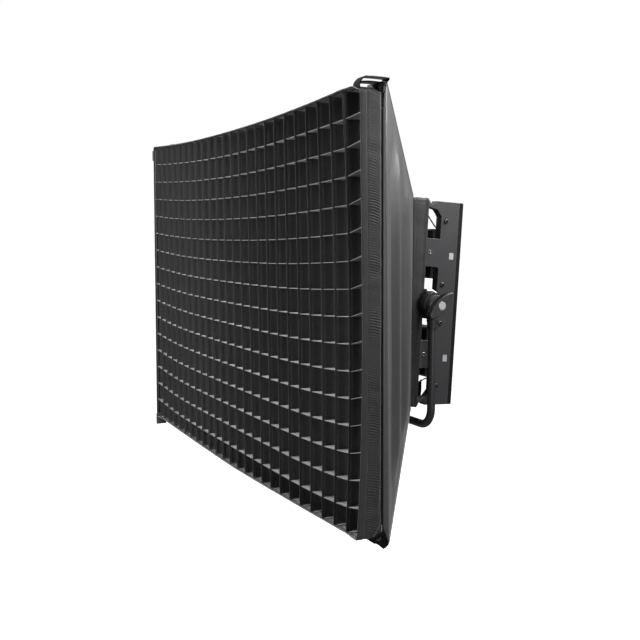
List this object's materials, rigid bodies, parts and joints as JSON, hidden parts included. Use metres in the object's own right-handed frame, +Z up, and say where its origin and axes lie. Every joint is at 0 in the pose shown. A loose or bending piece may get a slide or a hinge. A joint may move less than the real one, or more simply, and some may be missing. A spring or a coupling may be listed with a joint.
{
  "type": "softbox lamp head",
  "caption": "Wide fabric softbox with an egg-crate grid on a flat LED panel head, held in a tilting tube yoke with a stand socket.",
  "frame": {"origin": "centre of the stand socket's mouth", "axes": "+Z up out of the stand, the light leaves towards -Y, +X to the right seen from in front of it"},
  "size_m": [1.1609, 0.3553, 0.7872],
  "materials": {
    "bag_cloth": "coated ripstop, satin",
    "grid_cloth": "matt woven",
    "diffusion_cloth": "matt translucent",
    "webbing": "ribbed webbing",
    "pale_webbing": "ribbed webbing",
    "elastic": "matt",
    "rod": "matt glass-fibre rod",
    "joint_plastic": "matt moulded",
    "dark_paint": "satin powder coat",
    "black_paint": "satin powder coat",
    "tube_paint": "satin powder coat",
    "anodised": "black anodised",
    "boss_metal": "satin machined",
    "screw_steel": "black oxide, worn",
    "bright_steel": "plated",
    "label_plate": "satin",
    "bumper_rubber": "matt",
    "friction_rubber": "matt",
    "knob_plastic": "satin moulded",
    "cap_plastic": "satin",
    "circuit_board": "white solder mask",
    "driver_circuit": "green solder mask",
    "emitter": "gloss",
    "opal": "opal",
    "panel_print": "satin film",
    "display": "gloss",
    "button_rubber": "matt",
    "dial_plastic": "matt moulded",
    "rocker_plastic": "gloss",
    "connector": "matt moulded"
  },
  "bodies": {
    "yoke": {"yoke_tube": "tube_paint", "yoke_lug_left": "black_paint", "yoke_lug_right": "black_paint", "stand_receiver": "black_paint", "saddle_cap": "black_paint", "saddle_bolts": "screw_steel"},
    "head": {"bag_collar": "bag_cloth", "bag_cords": "elastic", "bag_shell": "bag_cloth", "control_panel": "panel_print", "corner_gussets": "webbing", "corner_joints": "joint_plastic", "corner_loops": "pale_webbing", "cover_screws": "screw_steel", "data_sockets": "connector", "display_window": "display", "driver_board": "driver_circuit", "driver_case": "black_paint", "driver_cover": "dark_paint", "eyelet_rings": "bright_steel", "friction_discs": "friction_rubber", "front_bezel": "black_paint", "front_diffuser": "diffusion_cloth", "front_rods": "rod", "grid_band": "grid_cloth", "grid_rods": "rod", "grid_slats_horizontal": "grid_cloth", "grid_slats_vertical": "grid_cloth", "heat_sink": "anodised", "label_plates": "label_plate", "led_board": "circuit_board", "led_chips": "emitter", "led_housing": "dark_paint", "lens_panel": "opal", "pivot_bosses": "boss_metal", "power_inlet": "connector", "rear_bumpers": "bumper_rubber", "side_plate_left": "dark_paint", "side_plate_right": "dark_paint", "side_plate_screws": "screw_steel", "snap_hinges": "joint_plastic", "spreader_rods": "rod", "supply_board": "driver_circuit", "supply_case": "black_paint", "supply_cover": "dark_paint"},
    "knob_right": {"tilt_knob_right": "knob_plastic", "knob_cap_right": "cap_plastic", "knob_stud_right": "bright_steel"},
    "knob_left": {"tilt_knob_left": "knob_plastic", "knob_cap_left": "cap_plastic", "knob_stud_left": "bright_steel"},
    "lock": {"lock_screw": "bright_steel"},
    "intensity_dial": {"dial_intensity": "dial_plastic"},
    "colour_dial": {"dial_colour": "dial_plastic"},
    "button_1": {"menu_button_1": "button_rubber"},
    "button_2": {"menu_button_2": "button_rubber"},
    "button_3": {"menu_button_3": "button_rubber"},
    "button_4": {"menu_button_4": "button_rubber"},
    "rocker": {"power_rocker": "rocker_plastic"}
  },
  "joints": [
    {"name": "head_tilt", "type": "hinge", "parent": "yoke", "child": "head", "pos_m": [0, 0, 0.323], "axis": [-1, 0, 0], "range_deg": [-5, 90]},
    {"name": "knob_right_turn", "type": "hinge", "parent": "head", "child": "knob_right", "pos_m": [0.42, 0, 0.323], "axis": [1, 0, 0], "range_deg": [-540, 20]},
    {"name": "knob_left_turn", "type": "hinge", "parent": "head", "child": "knob_left", "pos_m": [-0.42, 0, 0.323], "axis": [-1, 0, 0], "range_deg": [-540, 20]},
    {"name": "stand_lock_turn", "type": "hinge", "parent": "yoke", "child": "lock", "pos_m": [0, 0.03, 0.03], "axis": [0, 1, 0], "range_deg": [-360, 360]},
    {"name": "intensity_turn", "type": "hinge", "parent": "head", "child": "intensity_dial", "pos_m": [0.052, 0.07474, 0.22668], "axis": [0, 0.9984, -0.0558], "continuous": true},
    {"name": "colour_turn", "type": "hinge", "parent": "head", "child": "colour_dial", "pos_m": [0.096, 0.07474, 0.22668], "axis": [0, 0.9984, -0.0558], "continuous": true},
    {"name": "power_rock", "type": "hinge", "parent": "head", "child": "rocker", "pos_m": [-0.136, 0.06358, 0.19726], "axis": [-1, 0, 0], "range_deg": [0, 16]},
    {"name": "button_1_press", "type": "slide", "parent": "head", "child": "button_1", "axis": [0, -0.9984, 0.0558], "range_m": [0, 0.0015], "stiffness_N_per_m": 300},
    {"name": "button_2_press", "type": "slide", "parent": "head", "child": "button_2", "axis": [0, -0.9984, 0.0558], "range_m": [0, 0.0015], "stiffness_N_per_m": 300},
    {"name": "button_3_press", "type": "slide", "parent": "head", "child": "button_3", "axis": [0, -0.9984, 0.0558], "range_m": [0, 0.0015], "stiffness_N_per_m": 300},
    {"name": "button_4_press", "type": "slide", "parent": "head", "child": "button_4", "axis": [0, -0.9984, 0.0558], "range_m": [0, 0.0015], "stiffness_N_per_m": 300}
  ]
}
